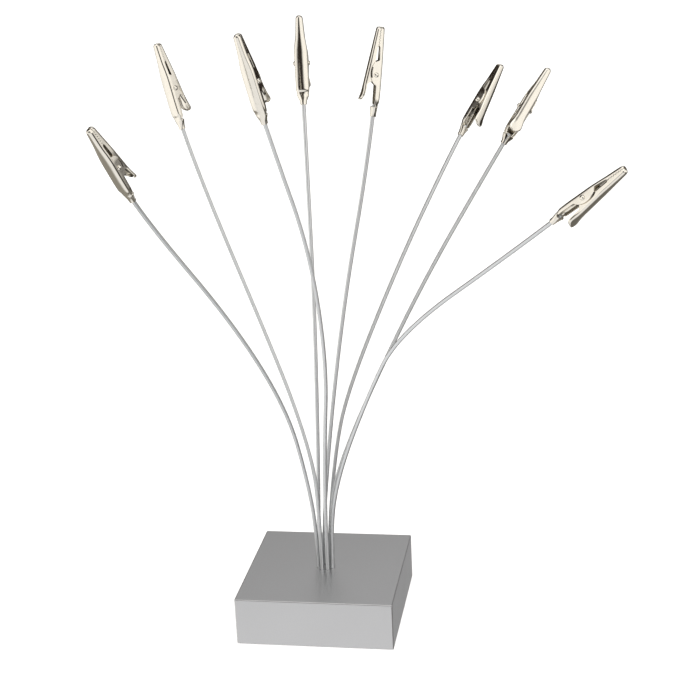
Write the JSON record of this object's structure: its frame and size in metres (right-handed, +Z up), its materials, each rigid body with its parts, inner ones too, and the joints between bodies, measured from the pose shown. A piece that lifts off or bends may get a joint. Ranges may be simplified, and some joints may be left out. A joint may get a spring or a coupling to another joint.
{
  "type": "photo tree stand",
  "caption": "Photo tree stand: a heavy square metal base with a spray of bendable wire arms, each ending in a small sprung clip that holds a photograph or note.",
  "frame": {"origin": "centre of the underside of the base, on the plane that the stand rests on", "axes": "+X to the right along the base's front face, +Y to the back of the base, +Z up"},
  "size_m": [0.1845, 0.1541, 0.2472],
  "materials": {
    "base_metal": "satin silver anodised, sharp machined edges",
    "pad_rubber": "matt black non-slip sheet",
    "wire_steel": "satin drawn steel wire",
    "clip_nickel": "bright nickel plate on pressed steel",
    "spring_steel": "plain spring steel wire"
  },
  "bodies": {
    "stand": {"base_block": "base_metal", "base_pad": "pad_rubber", "arm_wire_1": "wire_steel", "fixed_jaw_1": "clip_nickel", "pivot_pin_1": "clip_nickel", "jaw_spring_1": "spring_steel", "arm_wire_2": "wire_steel", "fixed_jaw_2": "clip_nickel", "pivot_pin_2": "clip_nickel", "jaw_spring_2": "spring_steel", "arm_wire_3": "wire_steel", "fixed_jaw_3": "clip_nickel", "pivot_pin_3": "clip_nickel", "jaw_spring_3": "spring_steel", "arm_wire_4": "wire_steel", "fixed_jaw_4": "clip_nickel", "pivot_pin_4": "clip_nickel", "jaw_spring_4": "spring_steel", "arm_wire_5": "wire_steel", "fixed_jaw_5": "clip_nickel", "pivot_pin_5": "clip_nickel", "jaw_spring_5": "spring_steel", "arm_wire_6": "wire_steel", "fixed_jaw_6": "clip_nickel", "pivot_pin_6": "clip_nickel", "jaw_spring_6": "spring_steel", "arm_wire_7": "wire_steel", "fixed_jaw_7": "clip_nickel", "pivot_pin_7": "clip_nickel", "jaw_spring_7": "spring_steel", "arm_wire_8": "wire_steel", "fixed_jaw_8": "clip_nickel", "pivot_pin_8": "clip_nickel", "jaw_spring_8": "spring_steel"},
    "jaw_1": {"moving_jaw_1": "clip_nickel"},
    "jaw_2": {"moving_jaw_2": "clip_nickel"},
    "jaw_3": {"moving_jaw_3": "clip_nickel"},
    "jaw_4": {"moving_jaw_4": "clip_nickel"},
    "jaw_5": {"moving_jaw_5": "clip_nickel"},
    "jaw_6": {"moving_jaw_6": "clip_nickel"},
    "jaw_7": {"moving_jaw_7": "clip_nickel"},
    "jaw_8": {"moving_jaw_8": "clip_nickel"}
  },
  "joints": [
    {"name": "jaw_hinge_1", "type": "hinge", "parent": "stand", "child": "jaw_1", "pos_m": [-0.0531, -0.07093, 0.20766], "axis": [-0.9173, 0.3976, 0.0202], "range_deg": [0, 24], "stiffness_Nm_per_rad": 0.04, "springref_deg": -28.65, "deforming": ["jaw_spring_1"]},
    {"name": "jaw_hinge_2", "type": "hinge", "parent": "stand", "child": "jaw_2", "pos_m": [-0.05564, 0.01722, 0.22057], "axis": [-0.7885, 0.5683, -0.235], "range_deg": [0, 24], "stiffness_Nm_per_rad": 0.04, "springref_deg": -28.65, "deforming": ["jaw_spring_2"]},
    {"name": "jaw_hinge_3", "type": "hinge", "parent": "stand", "child": "jaw_3", "pos_m": [-0.01273, -0.02492, 0.22904], "axis": [-0.9454, 0.2901, -0.1488], "range_deg": [0, 24], "stiffness_Nm_per_rad": 0.04, "springref_deg": -28.65, "deforming": ["jaw_spring_3"]},
    {"name": "jaw_hinge_4", "type": "hinge", "parent": "stand", "child": "jaw_4", "pos_m": [-0.00374, 0.02418, 0.22865], "axis": [-0.9961, -0.0844, -0.0257], "range_deg": [0, 24], "stiffness_Nm_per_rad": 0.04, "springref_deg": -28.65, "deforming": ["jaw_spring_4"]},
    {"name": "jaw_hinge_5", "type": "hinge", "parent": "stand", "child": "jaw_5", "pos_m": [0.02549, 0.02368, 0.22364], "axis": [0.3098, -0.9475, 0.0798], "range_deg": [0, 24], "stiffness_Nm_per_rad": 0.04, "springref_deg": -28.65, "deforming": ["jaw_spring_5"]},
    {"name": "jaw_hinge_6", "type": "hinge", "parent": "stand", "child": "jaw_6", "pos_m": [0.06364, 0.06206, 0.20565], "axis": [0.3597, 0.6877, -0.6307], "range_deg": [0, 24], "stiffness_Nm_per_rad": 0.04, "springref_deg": -28.65, "deforming": ["jaw_spring_6"]},
    {"name": "jaw_hinge_7", "type": "hinge", "parent": "stand", "child": "jaw_7", "pos_m": [0.08288, 0.04318, 0.20598], "axis": [0.8384, 0.0596, -0.5419], "range_deg": [0, 24], "stiffness_Nm_per_rad": 0.04, "springref_deg": -28.65, "deforming": ["jaw_spring_7"]},
    {"name": "jaw_hinge_8", "type": "hinge", "parent": "stand", "child": "jaw_8", "pos_m": [0.10818, -0.03176, 0.1861], "axis": [0.5428, 0.763, -0.3511], "range_deg": [0, 24], "stiffness_Nm_per_rad": 0.04, "springref_deg": -28.65, "deforming": ["jaw_spring_8"]}
  ]
}
